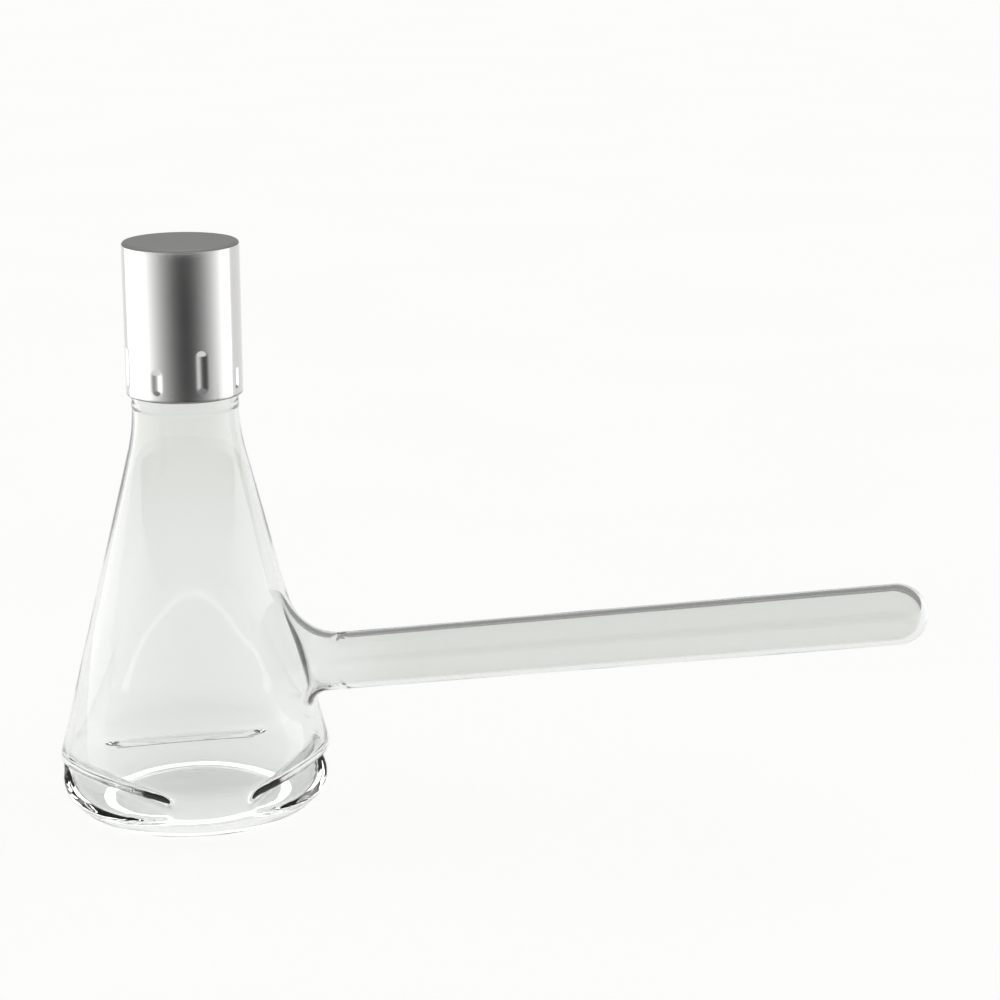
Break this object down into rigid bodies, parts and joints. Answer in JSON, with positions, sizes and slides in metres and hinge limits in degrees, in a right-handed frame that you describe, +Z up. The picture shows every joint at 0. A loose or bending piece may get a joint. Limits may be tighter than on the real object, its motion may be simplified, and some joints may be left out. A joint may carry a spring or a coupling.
{
  "type": "side-arm culture flask",
  "caption": "Conical baffled glass flask with a long round-ended side tube low on its wall and a slip-over steel closure on its straight neck.",
  "frame": {"origin": "centre of the ring that the flask stands on", "axes": "+Z up the neck's axis, +X the way the side tube points"},
  "size_m": [0.2763, 0.087, 0.183],
  "materials": {
    "glass": "clear flame-polished borosilicate",
    "closure_steel": "polished drawn stainless steel",
    "spring_steel": "satin stainless spring strip"
  },
  "bodies": {
    "flask": {"flask_body": "glass", "neck_tube": "glass", "side_arm": "glass"},
    "closure": {"closure_shell": "closure_steel", "finger_spring": "spring_steel"}
  },
  "joints": [
    {"name": "closure_lift", "type": "slide", "parent": "flask", "child": "closure", "axis": [0, 0, 1], "range_m": [0, 0.12]}
  ]
}
